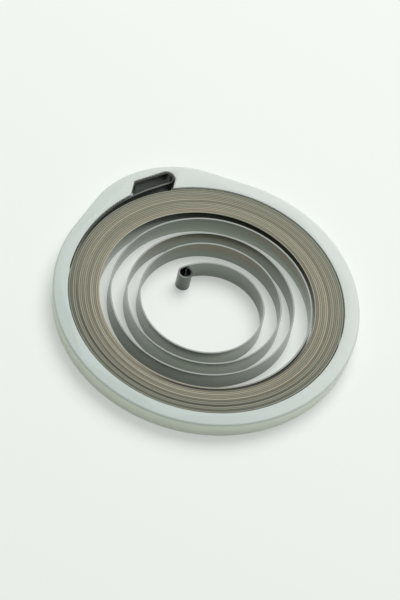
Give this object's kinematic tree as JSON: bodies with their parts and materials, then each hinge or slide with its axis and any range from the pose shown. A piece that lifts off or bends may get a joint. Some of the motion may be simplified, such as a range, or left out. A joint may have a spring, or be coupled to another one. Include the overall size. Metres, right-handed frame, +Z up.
{
  "type": "recoil starter spring",
  "caption": "Flat-strip spiral spring that rewinds a pull starter's rope pulley, lying wound in an open plastic ring whose pocket holds the strip's hooked outer end.",
  "frame": {"origin": "on the axis of the ring's bore, at the underside of the ring and the strip", "axes": "+Z up along the ring's axis; +Y towards the side of the ring that holds the hook's pocket, which lies a little to the -X side; seen from above, the strip runs counter-clockwise from the hook to the eye"},
  "size_m": [0.0666, 0.0673, 0.0046],
  "materials": {
    "milky_nylon": "milky, smooth moulded",
    "spring_steel": "oiled, heat-tinted rolled strip"
  },
  "bodies": {
    "root": {"retaining_ring": "milky_nylon", "spiral_spring": "spring_steel"}
  },
  "joints": []
}
